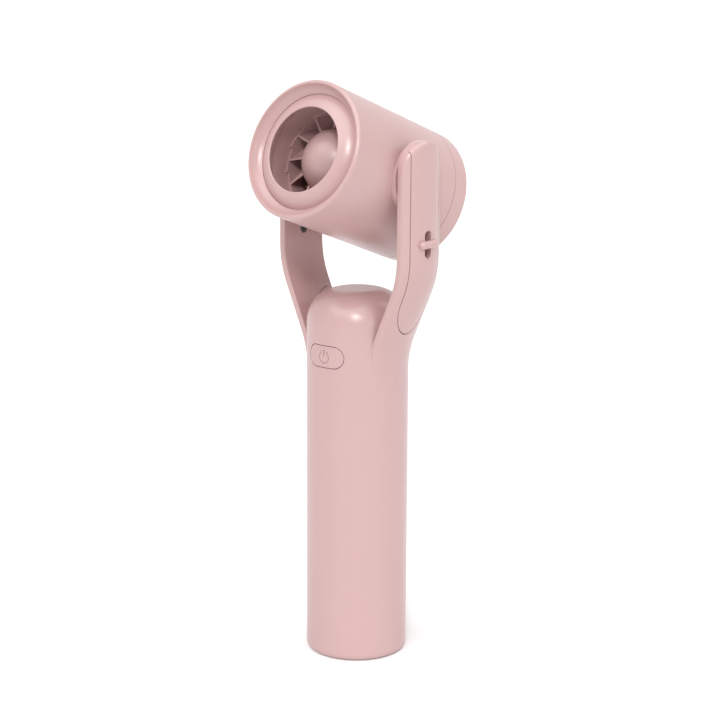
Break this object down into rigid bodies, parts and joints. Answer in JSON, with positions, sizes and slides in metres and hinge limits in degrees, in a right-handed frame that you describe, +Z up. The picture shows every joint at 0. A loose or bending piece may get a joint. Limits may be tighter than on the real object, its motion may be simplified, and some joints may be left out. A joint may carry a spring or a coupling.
{
  "type": "travel hair dryer",
  "caption": "Cordless travel hair dryer: round grip with a flush pill button and a two-arm fork that holds a tilting barrel with a fan, guide vanes, heater and ring nozzle.",
  "frame": {"origin": "centre of the flat foot that the dryer stands on", "axes": "+Z up the grip; -Y is the side of the button and, at rest, of the nozzle, which points 20 degrees above level; the fork arms stand at +X and -X, with the lanyard bar at +X"},
  "size_m": [0.0617, 0.0727, 0.1997],
  "materials": {
    "pink_shell": "satin moulded plastic",
    "pink_inner": "satin moulded plastic",
    "steel": "plain",
    "copper": "enamelled copper wire",
    "heating_wire": "oxidised nickel-chrome",
    "mica": "mica sheet",
    "magnet": "dark plated",
    "cell_sleeve": "shrink sleeve",
    "black_plastic": "moulded",
    "white_plastic": "moulded",
    "board_green": "solder mask",
    "wire_sleeve": "silicone"
  },
  "bodies": {
    "grip": {"handle_shell": "pink_shell", "base_cap": "pink_shell", "arm_cover_left": "pink_shell", "arm_cover_right": "pink_shell", "cover_screws": "steel", "charge_board": "board_green", "charge_board_screws": "steel", "charge_components": "black_plastic", "charge_socket": "steel", "battery_holder": "black_plastic", "battery_cell": "cell_sleeve", "cell_contacts": "steel", "control_board": "board_green", "board_components": "black_plastic", "tact_switch": "black_plastic", "status_led": "white_plastic", "arm_loom": "wire_sleeve", "loom_plug": "white_plastic"},
    "barrel": {"barrel_shell": "pink_shell", "duct_liner": "pink_inner", "liner_screws": "steel", "nozzle_ring": "pink_shell", "guide_vanes": "pink_inner", "hub_dome": "pink_inner", "motor_can": "steel", "motor_windings": "copper", "motor_bearings": "steel", "motor_driver_board": "board_green", "heater_frame": "mica", "heater_coil": "heating_wire", "thermal_cutout": "heating_wire", "rear_cover": "pink_shell", "intake_screen": "steel", "tilt_pin_left": "steel", "tilt_pin_right": "steel", "friction_washers": "white_plastic", "spring_washers": "steel", "pivot_clips": "steel", "barrel_leads": "wire_sleeve"},
    "rotor": {"fan_wheel": "pink_inner", "motor_shaft": "steel", "motor_magnet": "magnet"},
    "button": {"power_button": "pink_shell", "switch_plunger": "black_plastic"}
  },
  "joints": [
    {"name": "barrel_tilt", "type": "hinge", "parent": "grip", "child": "barrel", "pos_m": [0, 0, 0.16769], "axis": [-1, 0, 0], "range_deg": [-110.17, 69.83]},
    {"name": "fan_spin", "type": "hinge", "parent": "barrel", "child": "rotor", "pos_m": [0, 0, 0.16769], "axis": [0, -0.9387, 0.3448], "continuous": true},
    {"name": "button_press", "type": "slide", "parent": "grip", "child": "button", "axis": [0, 1, 0], "range_m": [0, 0.0005], "stiffness_N_per_m": 1500}
  ]
}
